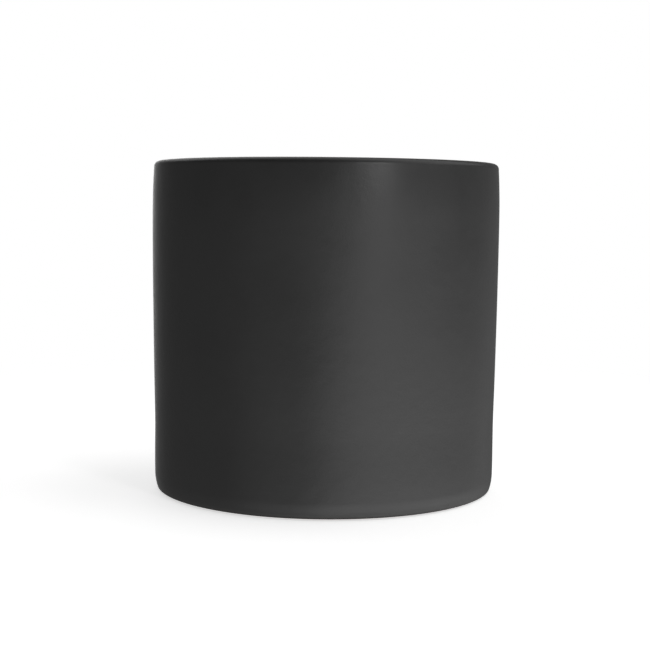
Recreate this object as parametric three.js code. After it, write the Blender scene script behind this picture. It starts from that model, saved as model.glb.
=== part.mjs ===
// An empty candle vessel: a straight-sided stoneware cup with black glaze fused over it.
// Millimetres, +Z up. The origin is the centre of the foot ring's resting face.
//
// Every piece is a body of revolution: its outline lies in the (radius, height) plane and is turned
// about the vertical axis. The glazed surface is drawn once, by outerSkin and linerSkin, and their
// depth argument gives the same surface that far into the material. The clay starts one coat down.
import * as THREE from "three";

// Driving dimensions
const OUTER_RADIUS = 45; // at the widest, a little below the lip
const HEIGHT = 85;
const WALL = 4.2; // clay with a coat of glaze on both sides
const FLOOR = 5; // clay with a coat of glaze on both sides
const GLAZE = 0.4; // one fired coat
const BOND = 0.02; // keeps two fused solids from sharing a face
const SEGMENTS = 56;

// The wall is almost straight, with a faint waist above the foot and a faint shoulder below the lip.
// Each station is [share of the height, how far the wall lies inside OUTER_RADIUS].
const WALL_STATIONS = [
  [0.05, 0.54],
  [0.16, 0.71],
  [0.32, 0.39],
  [0.6, 0.08],
  [0.84, 0],
  [0.97, 0.33],
  [1, 0.45],
];

// Lip: a round edge outside and inside, with a level land between them
const LIP_ROUND = 1.3;
const SEAM_DEPTH = 6; // the outer coat wraps over the lip and meets the liner coat this far down

// Foot: the wall curves in a little, turns a tight edge, and ends over a bare clay ring
const TOE_LIFT = 0.4; // the glazed underside hangs this far above the table
const TOE_ROUND = 12; // radius of the slow curve at the bottom of the wall
const TOE_SWEEP = 18; // degrees that the slow curve turns through
const TOE_EDGE = 0.5; // radius of the tight edge under it
const TOE_LEDGE = 1.5; // level stretch of underside, between the edge and the end of the glaze
const RING_BEVEL = 0.4;
const RING_WIDTH = 4.2;
const RECESS_DEPTH = 1.6;
const RECESS_LEAN = 1.2; // the recess narrows by this much on its way up
const RECESS_MARGIN = 0.6; // bare clay left around the coat in the recess
const CORNER_ROUND = 6; // inside, between the wall and the floor

// Levels and radii that follow from them
const floorTop = RECESS_DEPTH + FLOOR;
const cornerTop = floorTop + CORNER_ROUND;
const toeSweep = THREE.MathUtils.degToRad(TOE_SWEEP);
const toeTop = TOE_LIFT + TOE_EDGE + (TOE_ROUND - TOE_EDGE) * Math.sin(toeSweep);
const lipBase = HEIGHT - LIP_ROUND;
const seamLevel = HEIGHT - SEAM_DEPTH;

const wallLine = new THREE.CubicInterpolant(
  WALL_STATIONS.map(([share]) => share * HEIGHT),
  WALL_STATIONS.map(([, inset]) => OUTER_RADIUS - inset),
  1,
);
const outerRadius = (height) => wallLine.evaluate(height)[0];
const innerRadius = (height) => outerRadius(height) - WALL;

const toeCentre = point(outerRadius(toeTop) - TOE_ROUND, toeTop);
const edgeReach = (TOE_ROUND - TOE_EDGE) * Math.cos(toeSweep);
const edgeCentre = point(toeCentre.x + edgeReach, TOE_LIFT + TOE_EDGE);
const glazeEnd = edgeCentre.x - TOE_LEDGE;
const clayEdge = glazeEnd - BOND;
const ringOuter = clayEdge - RING_BEVEL;
const ringInner = ringOuter - RING_WIDTH;
const recessRadius = ringInner - RECESS_LEAN;

function point(radius, height) {
  return new THREE.Vector2(radius, height);
}

// Points on a round arc, ends included. Angles are in degrees from the +radius direction.
function arc(centre, radius, from, to, steps) {
  const [start, end] = [from, to].map(THREE.MathUtils.degToRad);
  const curve = new THREE.EllipseCurve(centre.x, centre.y, radius, radius, start, end, end < start);
  return curve.getPoints(steps);
}

// Points along a wall between two heights, ends included. radiusAt gives the wall's radius.
function wall(radiusAt, from, to, steps) {
  return Array.from({ length: steps + 1 }, (_, i) => {
    const height = THREE.MathUtils.lerp(from, to, i / steps);
    return point(radiusAt(height), height);
  });
}

// Joins stretches of outline, leaving out a point that repeats the one before it.
function outline(...stretches) {
  const points = stretches.flat();
  return points.filter((p, i) => i === 0 || p.distanceTo(points[i - 1]) > 1e-4);
}

// The matte skin: from the end of the glaze, round the toe, up the wall and over the lip, then down
// the inside as far as a given level. Under the surface the tight edge is small enough for one step.
function outerSkin(depth, level) {
  const round = LIP_ROUND - depth;
  const edgeSteps = depth > 0 ? 1 : 3;
  return outline(
    [point(glazeEnd, TOE_LIFT + depth)],
    arc(edgeCentre, TOE_EDGE - depth, -90, -TOE_SWEEP, edgeSteps),
    arc(toeCentre, TOE_ROUND - depth, -TOE_SWEEP, 0, 3),
    wall((height) => outerRadius(height) - depth, toeTop, lipBase, 8),
    arc(point(outerRadius(lipBase) - LIP_ROUND, lipBase), round, 0, 90, 3),
    arc(point(innerRadius(lipBase) + LIP_ROUND, lipBase), round, 90, 180, 3),
    wall((height) => innerRadius(height) + depth, lipBase, level, 1),
  );
}

// The liner skin: from the seam down the inside wall and in to the middle of the floor.
function linerSkin(depth) {
  const round = CORNER_ROUND + depth;
  return outline(
    wall((height) => innerRadius(height) + depth, seamLevel, cornerTop, 6),
    arc(point(innerRadius(cornerTop) - CORNER_ROUND, cornerTop), round, 0, -90, 5),
    [point(0, floorTop - depth)],
  );
}

function turned(name, points, material) {
  const mesh = new THREE.Mesh(new THREE.LatheGeometry(points, SEGMENTS), material);
  mesh.name = name;
  mesh.rotation.x = Math.PI / 2; // a lathe turns about +Y, and the vessel stands along +Z
  return mesh;
}

// The fired clay cup: wall, floor and foot ring in one casting.
function stonewareBody() {
  const depth = GLAZE + BOND;
  const material = new THREE.MeshStandardMaterial({ color: 0xb9b0a2, roughness: 0.9 });
  const points = outline(
    [
      point(0, RECESS_DEPTH + depth),
      point(recessRadius, RECESS_DEPTH + depth),
      point(ringInner, 0),
      point(ringOuter, 0),
      point(clayEdge, TOE_LIFT),
      point(clayEdge, TOE_LIFT + depth),
    ],
    outerSkin(depth, seamLevel).slice(1),
    linerSkin(depth),
  );
  return turned("stoneware_body", points, material);
}

// The matte coat on the outside, over the lip and a little way down the inside.
function outerGlaze() {
  const material = new THREE.MeshStandardMaterial({ color: 0x2b2b2b, roughness: 0.5 });
  const face = outerSkin(0, seamLevel + BOND);
  const back = outerSkin(GLAZE, seamLevel + BOND).reverse();
  return turned("outer_glaze", [...face, ...back, face[0].clone()], material);
}

// The satin coat that seals the inside wall and the floor.
function linerGlaze() {
  const material = new THREE.MeshStandardMaterial({ color: 0x232323, roughness: 0.3 });
  return turned("liner_glaze", [...linerSkin(GLAZE).reverse(), ...linerSkin(0)], material);
}

// The coat on the ceiling of the recess, inside the bare ring.
function baseGlaze() {
  const material = new THREE.MeshStandardMaterial({ color: 0x2b2b2b, roughness: 0.5 });
  const radius = recessRadius - RECESS_MARGIN;
  const points = [
    point(0, RECESS_DEPTH),
    point(radius - GLAZE, RECESS_DEPTH),
    point(radius, RECESS_DEPTH + GLAZE),
    point(0, RECESS_DEPTH + GLAZE),
  ];
  return turned("base_glaze", points, material);
}

const vessel = new THREE.Group();
vessel.add(stonewareBody(), outerGlaze(), linerGlaze(), baseGlaze());

export default vessel;
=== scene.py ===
"""Looks for the empty candle vessel: a slip-cast stoneware cup under a satin black glaze.

Every piece is a fine, nearly perfect surface of revolution that stands for the CAD node of the same
layer. Outlines are drawn in millimetres in the (radius, height) plane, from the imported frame's sizes,
and turned into meshes in metres. Nothing here moves or resizes the CAD model.
"""

import math

import bpy
import numpy as np
from mathutils import Matrix, Vector, noise


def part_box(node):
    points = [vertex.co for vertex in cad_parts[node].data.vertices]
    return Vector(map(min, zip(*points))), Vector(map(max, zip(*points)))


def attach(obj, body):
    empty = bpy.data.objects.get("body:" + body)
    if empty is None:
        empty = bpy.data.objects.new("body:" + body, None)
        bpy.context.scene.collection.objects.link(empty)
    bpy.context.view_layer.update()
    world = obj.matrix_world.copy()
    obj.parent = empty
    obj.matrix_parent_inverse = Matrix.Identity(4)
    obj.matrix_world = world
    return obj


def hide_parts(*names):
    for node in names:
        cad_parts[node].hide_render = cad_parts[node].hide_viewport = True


MM = 0.001
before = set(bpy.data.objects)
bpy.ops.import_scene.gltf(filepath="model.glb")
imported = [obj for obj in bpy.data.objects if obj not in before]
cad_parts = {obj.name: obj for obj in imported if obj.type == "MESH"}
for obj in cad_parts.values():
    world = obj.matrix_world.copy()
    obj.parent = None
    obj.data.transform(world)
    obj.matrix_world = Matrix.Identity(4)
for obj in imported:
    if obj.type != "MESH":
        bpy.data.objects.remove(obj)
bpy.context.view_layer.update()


# ---- Sizes, in millimetres -------------------------------------------------------------------------


def box_mm(node):
    """Lowest and highest corner of a CAD node, in millimetres."""
    return [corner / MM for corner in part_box(node)]


coat_low, coat_high = box_mm("outer_glaze")
liner_low, liner_high = box_mm("liner_glaze")
base_low, base_high = box_mm("base_glaze")

OUTER_RADIUS = coat_high.x
HEIGHT = coat_high.z
TOE_LIFT = coat_low.z  # the glazed underside hangs this far above the table
SEAM = liner_high.z  # level where the outer coat meets the liner, inside
GLAZE = base_high.z - base_low.z
WALL = OUTER_RADIUS - liner_high.x + GLAZE
FLOOR_TOP = liner_low.z + GLAZE
RECESS = base_low.z  # level of the glazed ceiling under the floor
BASE_RADIUS = base_high.x
BOND = 0.02  # gap between two fused layers
SEGMENTS = 256
SAME_PLACE = 1e-4  # points closer than this count as one

# The wall is widest at WIDEST_AT. It draws in below and above that, and flares again over the foot.
WIDEST_AT = 0.84  # as a share of the height, like the other levels of the wall
TAPER = 0.71  # depth inside OUTER_RADIUS at the waist
WAIST_AT = 0.16
SHOULDER = 0.44  # depth inside OUTER_RADIUS at the lip
FLARE = 0.36  # how far the foot stands out from the taper
FLARE_FROM, FLARE_TO = 0.24, 0.04

LIP_DROP = 1.7  # the lip's rounding starts this far below its crest
LIP_POWER = 2.5  # squareness of the lip's section, where 2 is an ellipse
TOE_ROUND = 12.0  # radius of the slow curve at the bottom of the wall
TOE_SWEEP = 18.0  # degrees that the slow curve turns through
TOE_EDGE = 0.5  # radius of the tight edge under it
TOE_LEDGE = 1.5  # level stretch of underside, between the tight edge and the glaze line
RING_WIDTH = 4.2  # of the clay ring that the vessel rests on
RING_ROUND = 0.4  # radius of the ring's outer edge, where its inner edge has half as much
RECESS_LEAN = 1.2  # how far the side of the recess leans in, from the ring up to the ceiling
CORNER_ROUND = 6.0  # radius of the corner between the inside wall and the floor

BEAD, BEAD_WIDTH = 0.14, 1.5  # glaze stands this much thicker along a strip next to its own edge
WANDER = 0.03  # the hand-finished wall wanders in and out by this much
WANDER_LENGTH = 26.0  # from one swell to the next, roughly
TRIM_DEPTH, TRIM_PITCH = 0.03, 0.45  # grooves that the trimming tool leaves in the recess's side
TRIM_STEPS = 24


def smoothstep(value):
    share = np.clip(value, 0, 1)
    return share * share * (3 - 2 * share)


def outer_radius(height):
    """The wall's finished radius at a height."""
    share = np.asarray(height) / HEIGHT
    below = np.maximum(WIDEST_AT - share, 0) / (WIDEST_AT - WAIST_AT)
    above = np.maximum(share - WIDEST_AT, 0) / (1 - WIDEST_AT)
    flare = FLARE * smoothstep((FLARE_FROM - share) / (FLARE_FROM - FLARE_TO))
    return OUTER_RADIUS - TAPER * below**2 - SHOULDER * above**2 + flare


def inner_radius(height):
    return outer_radius(height) - WALL


def bead(distance, width):
    """Extra thickness of a coat near its edge, where the glaze draws up as it melts."""
    return BEAD * np.sin(math.pi * np.clip(distance / width, 0, 1)) ** 2


# ---- Outlines --------------------------------------------------------------------------------------


def arc(centre, radii, start, end, steps, power=2.0):
    """Points on an ellipse, or on a squarer curve with a higher power. Angles are in degrees."""
    if np.isscalar(radii):
        radii = (radii, radii)
    angle = np.radians(np.linspace(start, end, steps + 1))
    cos, sin = np.cos(angle), np.sin(angle)
    across = np.sign(cos) * np.abs(cos) ** (2 / power)
    up = np.sign(sin) * np.abs(sin) ** (2 / power)
    return np.column_stack([centre[0] + radii[0] * across, centre[1] + radii[1] * up])


def wall(radius_at, start, end, steps):
    height = np.linspace(start, end, steps + 1)
    return np.column_stack([radius_at(height), height])


def outline(*stretches):
    """Joins stretches of outline and leaves out a point that repeats the one before it."""
    points = np.vstack([np.atleast_2d(stretch) for stretch in stretches])
    apart = np.linalg.norm(np.diff(points, axis=0), axis=1) > SAME_PLACE
    return points[np.concatenate([[True], apart])]


toe_sweep = math.radians(TOE_SWEEP)
toe_top = TOE_LIFT + TOE_EDGE + (TOE_ROUND - TOE_EDGE) * math.sin(toe_sweep)
toe_centre = (float(outer_radius(toe_top)) - TOE_ROUND, toe_top)
edge_reach = (TOE_ROUND - TOE_EDGE) * math.cos(toe_sweep)
edge_centre = (toe_centre[0] + edge_reach, TOE_LIFT + TOE_EDGE)
glaze_end = edge_centre[0] - TOE_LEDGE
clay_edge = glaze_end - BOND
lip_base = HEIGHT - LIP_DROP
lip_centre = (float(outer_radius(lip_base)) - WALL / 2, lip_base)
corner_top = FLOOR_TOP + CORNER_ROUND
half_coat = GLAZE / 2


def outer_skin(depth, detail=1.0):
    """The outside skin, from the toe up the wall and over the lip. Hidden skins need less detail."""
    lip = (WALL / 2 - depth, LIP_DROP - depth)
    return outline(
        arc(edge_centre, TOE_EDGE - depth, -90, -TOE_SWEEP, steps=int(12 * detail)),
        arc(toe_centre, TOE_ROUND - depth, -TOE_SWEEP, 0, steps=int(16 * detail)),
        wall(lambda z: outer_radius(z) - depth, toe_top, lip_base, steps=int(60 * detail)),
        arc(lip_centre, lip, 0, 180, steps=int(40 * detail), power=LIP_POWER),
    )


def liner_skin(depth, top, detail=1.0):
    """The liner's skin, from a level on the inside wall down and in to the middle of the floor."""
    centre = (float(inner_radius(corner_top)) - CORNER_ROUND, corner_top)
    floor = np.linspace(centre[0], 0, num=int(20 * detail) + 1)
    return outline(
        wall(lambda z: inner_radius(z) + depth, top, corner_top, steps=int(50 * detail)),
        arc(centre, CORNER_ROUND + depth, 0, -90, steps=int(24 * detail)),
        np.column_stack([floor, np.full_like(floor, FLOOR_TOP - depth)]),
    )


# ---- Meshes ----------------------------------------------------------------------------------------


def wandered(radius, angle, height):
    """The place at a radius and height in metres, moved by the slow, slight wander of every layer."""
    level = Vector((radius * math.cos(angle), radius * math.sin(angle), 0))
    place = level + Vector((0, 0, height))
    sway = 2 * noise.noise(place / (WANDER_LENGTH * MM))  # between about -1 and 1
    return place + level * (sway * WANDER / OUTER_RADIUS)


def turned(name, points):
    """A closed mesh: an outline turned about the axis. An outline off the axis closes on itself."""
    verts, rings, faces = [], [], []
    for radius, height in np.asarray(points) * MM:
        if radius < SAME_PLACE * MM:
            rings.append([len(verts)] * SEGMENTS)
            verts.append((0.0, 0.0, height))
            continue
        rings.append(list(range(len(verts), len(verts) + SEGMENTS)))
        for i in range(SEGMENTS):
            verts.append(wandered(radius, 2 * math.pi * i / SEGMENTS, height))
    pairs = list(zip(rings, rings[1:]))
    if min(points[0][0], points[-1][0]) > SAME_PLACE:
        pairs.append((rings[-1], rings[0]))
    for low, high in pairs:
        for i in range(SEGMENTS):
            j = (i + 1) % SEGMENTS
            corners = dict.fromkeys([low[i], low[j], high[j], high[i]])
            if len(corners) > 2:
                faces.append(list(corners))
    mesh = bpy.data.meshes.new(name)
    mesh.from_pydata(verts, [], faces)
    mesh.shade_smooth()
    piece = bpy.data.objects.new(name, mesh)
    bpy.context.scene.collection.objects.link(piece)
    return piece


def finish_piece(piece, node, material):
    """Gives a piece its material, hangs it from the root body and hides the CAD node that it stands for.
    """
    piece.data.materials.append(material)
    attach(piece, "root")
    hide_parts(node)


# ---- Materials -------------------------------------------------------------------------------------


def node_builder(tree):
    """A short way to add a node: its kind, the values or links of its inputs, and its settings."""

    def add(kind, inputs=None, **settings):
        node = tree.nodes.new(kind)
        for setting, value in settings.items():
            setattr(node, setting, value)
        for socket, value in (inputs or {}).items():
            if isinstance(value, bpy.types.NodeSocket):
                tree.links.new(value, node.inputs[socket])
            else:
                node.inputs[socket].default_value = value
        return node

    return add


class Finish:
    """A Principled material whose patterns are laid out in millimetres on the resting vessel."""

    NOISE_RANGE = (0.3, 0.7)  # nearly all of the noise lies between these

    def __init__(self, name):
        self.material = bpy.data.materials.new(name)
        self.material.use_nodes = True
        self.material.node_tree.nodes.clear()
        self.add = node_builder(self.material.node_tree)
        place = self.add("ShaderNodeTexCoord").outputs["Object"]
        self.place = self.vector("SCALE", {0: place, "Scale": 1 / MM}).outputs["Vector"]
        parts = self.add("ShaderNodeSeparateXYZ", {0: self.place})
        flat = self.add("ShaderNodeCombineXYZ", {0: parts.outputs["X"], 1: parts.outputs["Y"]})
        self.height = parts.outputs["Z"]
        self.radius = self.vector("LENGTH", {0: flat.outputs[0]}).outputs["Value"]

    def vector(self, operation, inputs):
        return self.add("ShaderNodeVectorMath", inputs, operation=operation)

    def math(self, operation, *values):
        return self.add("ShaderNodeMath", dict(enumerate(values)), operation=operation).outputs[0]

    def noise(self, size, detail=3.0, roughness=0.5, stretch=(1.0, 1.0, 1.0)):
        """Noise with blotches about size millimetres across."""
        place = self.vector("MULTIPLY", {0: self.place, 1: stretch}).outputs["Vector"]
        inputs = {"Vector": place, "Scale": 1 / size, "Detail": detail, "Roughness": roughness}
        return self.add("ShaderNodeTexNoise", inputs).outputs[0]

    def spread(self, value, low, high, start=0.0, end=1.0):
        """Maps a value from low..high to start..end along a smooth curve, and stops there."""
        inputs = {0: value, 1: low, 2: high, 3: start, 4: end}
        return self.add("ShaderNodeMapRange", inputs, interpolation_type="SMOOTHSTEP").outputs[0]

    def vary(self, noise, start=0.0, end=1.0):
        """Spreads noise over the whole of start..end."""
        return self.spread(noise, *self.NOISE_RANGE, start, end)

    def band(self, value, centre, width):
        """1 at the centre, falling to 0 at width on either side."""
        away = self.math("ABSOLUTE", self.math("SUBTRACT", value, centre))
        return self.spread(away, 0.0, width, 1.0, 0.0)

    def specks(self, spacing, size, share):
        """Round specks on a jittered grid. Only this share of the cells has one."""
        inputs = {"Vector": self.place, "Scale": 1 / spacing}
        cell = self.add("ShaderNodeTexVoronoi", inputs)
        small = self.spread(cell.outputs["Distance"], 0.0, size / spacing, 1.0, 0.0)
        lot = self.add("ShaderNodeSeparateColor", {0: cell.outputs["Color"]}).outputs[0]
        chosen = self.math("LESS_THAN", lot, share)
        return self.math("MULTIPLY", small, chosen)

    def blend(self, share, first, second):
        """Mixes two colours, which the Mix node takes at inputs 6 and 7 and gives at output 2."""
        inputs = {"Factor": share, 6: first, 7: second}
        return self.add("ShaderNodeMix", inputs, data_type="RGBA").outputs[2]

    def shade(self, colour, roughness, relief):
        """The Principled shader. The relief is in millimetres."""
        metres = self.math("MULTIPLY", relief, MM)
        bump = self.add("ShaderNodeBump", {"Strength": 1.0, "Distance": 1.0, "Height": metres})
        inputs = {"Base Color": colour, "Roughness": roughness, "Normal": bump.outputs[0]}
        shader = self.add("ShaderNodeBsdfPrincipled", inputs)
        self.add("ShaderNodeOutputMaterial", {"Surface": shader.outputs[0]})
        return self.material


def grey(value, warmth=0.0):
    """A near-neutral colour. warmth lifts red and lowers blue by that share."""
    return (value * (1 + warmth), value, value * (1 - warmth), 1.0)


def satin_glaze():
    """Satin black glaze: eggshell to the eye, thinner and greyer where it runs off the edges, with painted
    shade darkening its pinholes.
    """
    dark, light = grey(0.0105), grey(0.0135)
    thin_grey = grey(0.032, warmth=0.06)
    crystal_grey = grey(0.030)
    # colour of the painted shade inside the pinholes
    painted_pit_shade = grey(0.004)
    thin_reach = 0.9  # millimetres above and below an edge

    finish = Finish("satin_black_glaze")
    cloud = finish.noise(17, detail=4)
    peel = finish.noise(3.2, detail=2)
    eggshell = finish.noise(0.5, detail=4, roughness=0.6)
    pinhole = finish.specks(spacing=6.0, size=0.22, share=0.15)
    crystal = finish.specks(spacing=0.8, size=0.16, share=0.35)
    ragged = finish.math("MULTIPLY_ADD", finish.noise(2.5), 0.8, -0.4)
    level = finish.math("ADD", finish.height, ragged)
    crest = finish.band(level, HEIGHT, thin_reach)
    toe = finish.band(level, TOE_LIFT + TOE_EDGE, thin_reach)
    thin = finish.math("MULTIPLY", finish.math("MAXIMUM", crest, toe), 0.35)

    colour = finish.blend(finish.vary(cloud), dark, light)
    colour = finish.blend(thin, colour, thin_grey)
    colour = finish.blend(finish.math("MULTIPLY", crystal, 0.5), colour, crystal_grey)
    # painted shade: the pinholes are coloured near-black as if in shade, on top of their dented relief
    colour = finish.blend(pinhole, colour, painted_pit_shade)

    roughness = finish.vary(cloud, 0.37, 0.42)
    grain = finish.math("MULTIPLY_ADD", eggshell, 0.12, -0.06)
    roughness = finish.math("ADD", roughness, grain)
    roughness = finish.math("MULTIPLY_ADD", thin, 0.08, roughness)

    relief = finish.math("MULTIPLY", eggshell, 0.026)
    relief = finish.math("MULTIPLY_ADD", peel, 0.045, relief)
    relief = finish.math("MULTIPLY_ADD", pinhole, -0.06, relief)
    return finish.shade(colour, roughness, relief)


def liner_glaze():
    """The poured liner: glossier, with faint runs down the wall and a dark pool in the corner."""
    dark, light = grey(0.013), grey(0.018)
    pool_black = grey(0.009)

    finish = Finish("liner_glaze_black")
    runs = finish.noise(5.5, detail=3, stretch=(1.0, 1.0, 0.12))
    cloud = finish.noise(14, detail=3)
    peel = finish.noise(2.2, detail=2)
    bubble = finish.specks(spacing=4.0, size=0.2, share=0.12)
    pool = finish.band(finish.height, FLOOR_TOP + 1.0, CORNER_ROUND)

    colour = finish.blend(finish.vary(cloud), dark, light)
    colour = finish.blend(pool, colour, pool_black)

    roughness = finish.vary(runs, 0.24, 0.30)
    roughness = finish.math("MULTIPLY_ADD", pool, -0.07, roughness)
    roughness = finish.math("MULTIPLY_ADD", finish.noise(0.6), 0.04, roughness)

    relief = finish.math("MULTIPLY", runs, 0.05)
    relief = finish.math("MULTIPLY_ADD", peel, 0.010, relief)
    relief = finish.math("MULTIPLY_ADD", bubble, -0.04, relief)
    return finish.shade(colour, roughness, relief)


def bare_clay():
    """Unglazed buff stoneware: iron specks, open grain, a sanded resting face and a toasted edge."""
    dark_buff, light_buff = (0.40, 0.33, 0.26, 1), (0.50, 0.43, 0.35, 1)
    grog_buff = (0.62, 0.56, 0.48, 1)
    sanded_buff = (0.60, 0.54, 0.46, 1)
    toasted_brown = (0.22, 0.11, 0.055, 1)
    iron_brown = (0.09, 0.05, 0.03, 1)

    finish = Finish("bare_stoneware")
    cloud = finish.noise(6, detail=4)
    grain = finish.noise(0.28, detail=4, roughness=0.65)
    iron = finish.specks(spacing=1.1, size=0.22, share=0.22)
    grog = finish.specks(spacing=0.8, size=0.25, share=0.30)
    sanded = finish.spread(finish.height, 0.03, 0.15, 1.0, 0.0)
    ragged = finish.math("MULTIPLY_ADD", finish.noise(1.5), 0.7, -0.35)
    toast = finish.band(finish.math("ADD", finish.radius, ragged), clay_edge, 1.2)

    colour = finish.blend(finish.vary(cloud), dark_buff, light_buff)
    colour = finish.blend(finish.math("MULTIPLY", grog, 0.5), colour, grog_buff)
    colour = finish.blend(finish.math("MULTIPLY", sanded, 0.35), colour, sanded_buff)
    colour = finish.blend(finish.math("MULTIPLY", toast, 0.75), colour, toasted_brown)
    colour = finish.blend(iron, colour, iron_brown)

    roughness = finish.vary(grain, 0.80, 0.95)
    roughness = finish.math("MULTIPLY_ADD", sanded, -0.12, roughness)

    open_grain = finish.math("MULTIPLY_ADD", sanded, -0.012, 0.022)
    relief = finish.math("MULTIPLY", grain, open_grain)
    relief = finish.math("MULTIPLY_ADD", iron, -0.03, relief)
    relief = finish.math("MULTIPLY_ADD", grog, 0.012, relief)
    return finish.shade(colour, roughness, relief)


# ---- Pieces ----------------------------------------------------------------------------------------


def outer_coat(material):
    """The satin coat, with a rolled edge at the foot and a bead where it stops inside the mouth."""
    seam = SEAM + BOND + half_coat
    rolled_edge = glaze_end + half_coat
    ledge = TOE_LEDGE - half_coat
    from_edge = np.linspace(0, ledge, num=12)
    points = outline(
        arc((rolled_edge, TOE_LIFT + half_coat), half_coat, 90, 270, steps=8),
        np.column_stack([rolled_edge + from_edge, TOE_LIFT - bead(from_edge, ledge)]),
        outer_skin(0),
        wall(lambda z: inner_radius(z) - bead(z - seam, BEAD_WIDTH), lip_base, seam, steps=32),
        arc((float(inner_radius(seam)) + half_coat, seam), half_coat, 180, 360, steps=8),
        wall(lambda z: inner_radius(z) + GLAZE, seam, lip_base, steps=4),
        outer_skin(GLAZE, detail=0.3)[::-1],
    )
    piece = turned("outer_glaze_coat", points)
    finish_piece(piece, "outer_glaze", material)


def liner_coat(material):
    """The poured liner, with a soft top edge under the outer coat's bead."""
    top = SEAM - half_coat
    points = outline(
        liner_skin(GLAZE, top, detail=0.4)[::-1],
        arc((float(inner_radius(top)) + half_coat, top), half_coat, 0, 180, steps=8),
        liner_skin(0, top),
    )
    piece = turned("liner_glaze_coat", points)
    finish_piece(piece, "liner_glaze", material)


def base_coat(material):
    """The coat on the ceiling of the recess, with a rolled edge."""
    flat = BASE_RADIUS - half_coat
    radius = np.linspace(0, flat, num=60)
    points = outline(
        np.column_stack([radius, RECESS - bead(flat - radius, BEAD_WIDTH)]),
        arc((flat, RECESS + half_coat), half_coat, -90, 90, steps=8),
        (0, RECESS + GLAZE),
    )
    piece = turned("base_glaze_coat", points)
    finish_piece(piece, "base_glaze", material)


def clay_cup(material):
    """The clay: bare at the foot ring, with trimming grooves in the recess, and hidden elsewhere."""
    depth = GLAZE + BOND
    ring_outer = clay_edge - RING_ROUND
    ring_inner = ring_outer - RING_WIDTH
    recess_radius = ring_inner - RECESS_LEAN
    ceiling = RECESS + depth
    share = np.arange(1, TRIM_STEPS - 1) / TRIM_STEPS  # the inner edge's arc takes the last stretch
    groove = TRIM_DEPTH * np.cos(2 * math.pi * share * ceiling / TRIM_PITCH)
    slope = np.column_stack([recess_radius + RECESS_LEAN * share + groove, ceiling * (1 - share)])
    inner_round = RING_ROUND / 2
    points = outline(
        (0, ceiling),
        (recess_radius, ceiling),
        slope,
        arc((ring_inner + inner_round, inner_round), inner_round, 200, 270, steps=6),
        arc((ring_outer, RING_ROUND), RING_ROUND, -90, 0, steps=8),
        (clay_edge, TOE_LIFT + depth),
        outer_skin(depth, detail=0.3),
        liner_skin(depth, lip_base, detail=0.4),
    )
    piece = turned("stoneware_cup", points)
    finish_piece(piece, "stoneware_body", material)


satin = satin_glaze()
outer_coat(satin)
liner_coat(liner_glaze())
base_coat(satin)
clay_cup(bare_clay())


# ---- Stage -----------------------------------------------------------------------------------------


def direction(azimuth, elevation):
    """Unit vector from the vessel. Azimuth 0 is towards the camera and 90 is to its right."""
    azimuth, elevation = math.radians(azimuth), math.radians(elevation)
    level = math.cos(elevation)
    return Vector((math.sin(azimuth) * level, -math.cos(azimuth) * level, math.sin(elevation)))


def pale_floor(white=1.0, glow=0.6, near=0.08, far=0.30, size=4.0):
    """A pale floor that only the camera sees. It fades to the backdrop's white from near to far metres."""
    material = bpy.data.materials.new("pale_floor")
    material.use_nodes = True
    material.node_tree.nodes.clear()
    add = node_builder(material.node_tree)
    place = add("ShaderNodeTexCoord").outputs["Object"]
    distance = add("ShaderNodeVectorMath", {0: place}, operation="LENGTH").outputs["Value"]
    edges = {0: distance, 1: near, 2: far}
    fade = add("ShaderNodeMapRange", edges, interpolation_type="SMOOTHERSTEP")
    paper = add("ShaderNodeBsdfDiffuse", {"Color": grey(0.9)})
    lift = add("ShaderNodeEmission", {"Strength": glow})
    both = add("ShaderNodeAddShader", {0: paper.outputs[0], 1: lift.outputs[0]})
    plain = add("ShaderNodeEmission", {"Strength": white})
    mix = add("ShaderNodeMixShader", {0: fade.outputs[0], 1: both.outputs[0], 2: plain.outputs[0]})
    add("ShaderNodeOutputMaterial", {"Surface": mix.outputs[0]})

    mesh = bpy.data.meshes.new("floor")
    corners = [(-size, -size, 0), (size, -size, 0), (size, size, 0), (-size, size, 0)]
    mesh.from_pydata(corners, [], [(0, 1, 2, 3)])
    mesh.materials.append(material)
    floor = bpy.data.objects.new("floor", mesh)
    bpy.context.scene.collection.objects.link(floor)
    floor.visible_diffuse = floor.visible_glossy = floor.visible_shadow = False


# What the glaze reflects, besides the lights: azimuth, elevation and half width in degrees, radiance
SOFT_REFLECTIONS = [
    (-35, -26, 15, 0.85),  # lit table, from the left of the camera round to the right
    (4, -31, 13, 1.9),
    (20, -20, 14, 1.4),
    (44, -25, 17, 1.8),
    (65, -25, 15, 1.6),
    (86, -22, 13, 1.3),
    (105, -22, 12, 0.9),
    (128, -19, 14, 0.6),
    (-60, -40, 45, 0.27),  # unlit table, left
    (-90, -15, 20, 0.1),
    (-174, 4, 11, 4.2),  # backdrop, in the gap past the vessel's left edge
    (-150, 0, 12, 0.1),
    (150, 4, 14, 0.1),
    (70, 10, 20, 0.18),  # wall of the room, right
]
AMBIENT = 0.09  # radiance everywhere else


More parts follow.
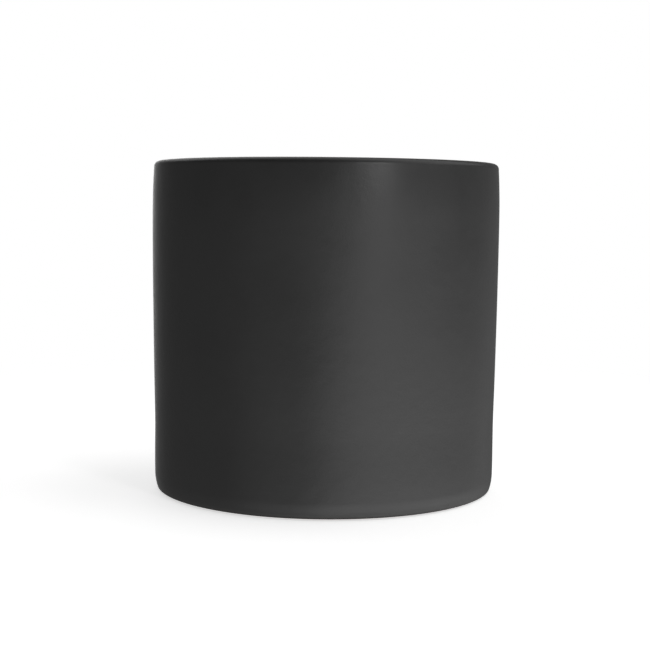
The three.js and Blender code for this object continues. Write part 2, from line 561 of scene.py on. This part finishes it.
def studio_world():
    """A white backdrop for the camera, and soft reflections of the studio for everything else."""
    world = bpy.data.worlds.new("studio")
    bpy.context.scene.world = world
    world.use_nodes = True
    world.node_tree.nodes.clear()
    add = node_builder(world.node_tree)
    ray = add("ShaderNodeTexCoord").outputs["Generated"]
    total = AMBIENT
    # Each reflection is a round glow that has fallen to a half at half_width from its centre.
    for azimuth, elevation, half_width, radiance in SOFT_REFLECTIONS:
        sharpness = math.log(2) / (1 - math.cos(math.radians(half_width)))
        towards = {0: ray, 1: direction(azimuth, elevation)}
        along = add("ShaderNodeVectorMath", towards, operation="DOT_PRODUCT").outputs["Value"]
        slope = {0: along, 1: sharpness, 2: -sharpness}
        power = add("ShaderNodeMath", slope, operation="MULTIPLY_ADD").outputs[0]
        lobe = add("ShaderNodeMath", {0: power}, operation="EXPONENT").outputs[0]
        sum_so_far = {0: lobe, 1: radiance, 2: total}
        total = add("ShaderNodeMath", sum_so_far, operation="MULTIPLY_ADD").outputs[0]
    soft = add("ShaderNodeBackground", {"Color": grey(1.0), "Strength": total})
    plain = add("ShaderNodeBackground", {"Color": grey(1.0), "Strength": 1.0})
    seen = add("ShaderNodeLightPath").outputs["Is Camera Ray"]
    mix = add("ShaderNodeMixShader", {0: seen, 1: soft.outputs[0], 2: plain.outputs[0]})
    add("ShaderNodeOutputWorld", {"Surface": mix.outputs[0]})


def softbox(name, azimuth, elevation, size, radiance, distance=1.0):
    """A rectangular light that faces the vessel, given by its size in metres and its radiance."""
    data = bpy.data.lights.new(name, "AREA")
    data.shape = "RECTANGLE"
    data.size, data.size_y = size
    data.energy = radiance * math.pi * size[0] * size[1]
    light = bpy.data.objects.new(name, data)
    bpy.context.scene.collection.objects.link(light)
    towards = direction(azimuth, elevation)
    light.location = Vector((0, 0, HEIGHT / 2 * MM)) + towards * distance
    light.rotation_mode = "QUATERNION"
    light.rotation_quaternion = towards.to_track_quat("Z", "Y")
    light.visible_camera = False


def photo_camera(away=362.7, height=73.2, pitch=4.83, roll=0.55, lens=76.5):
    """A look at the wall from just under the lip's height, a little downwards. Millimetres, degrees."""
    data = bpy.data.cameras.new("camera")
    data.sensor_width = 36
    data.lens = lens
    camera = bpy.data.objects.new("camera", data)
    bpy.context.scene.collection.objects.link(camera)
    tilt = Matrix.Rotation(math.radians(90 - pitch), 4, "X")
    turn = Matrix.Rotation(math.radians(roll), 4, "Z")
    camera.matrix_world = Matrix.Translation(Vector((0, -away, height)) * MM) @ tilt @ turn
    bpy.context.scene.camera = camera


pale_floor()
studio_world()
softbox("key_softbox", 33, 18, size=(0.14, 0.3), radiance=11.0)
softbox("overhead_softbox", 92, 50, size=(1.2, 1.2), radiance=1.0)
softbox("back_softbox", -150, 50, size=(0.8, 0.8), radiance=1.0)
softbox("top_softbox", 0, 90, size=(0.7, 0.7), radiance=0.45)
photo_camera()
bpy.context.scene.view_settings.view_transform = "Standard"
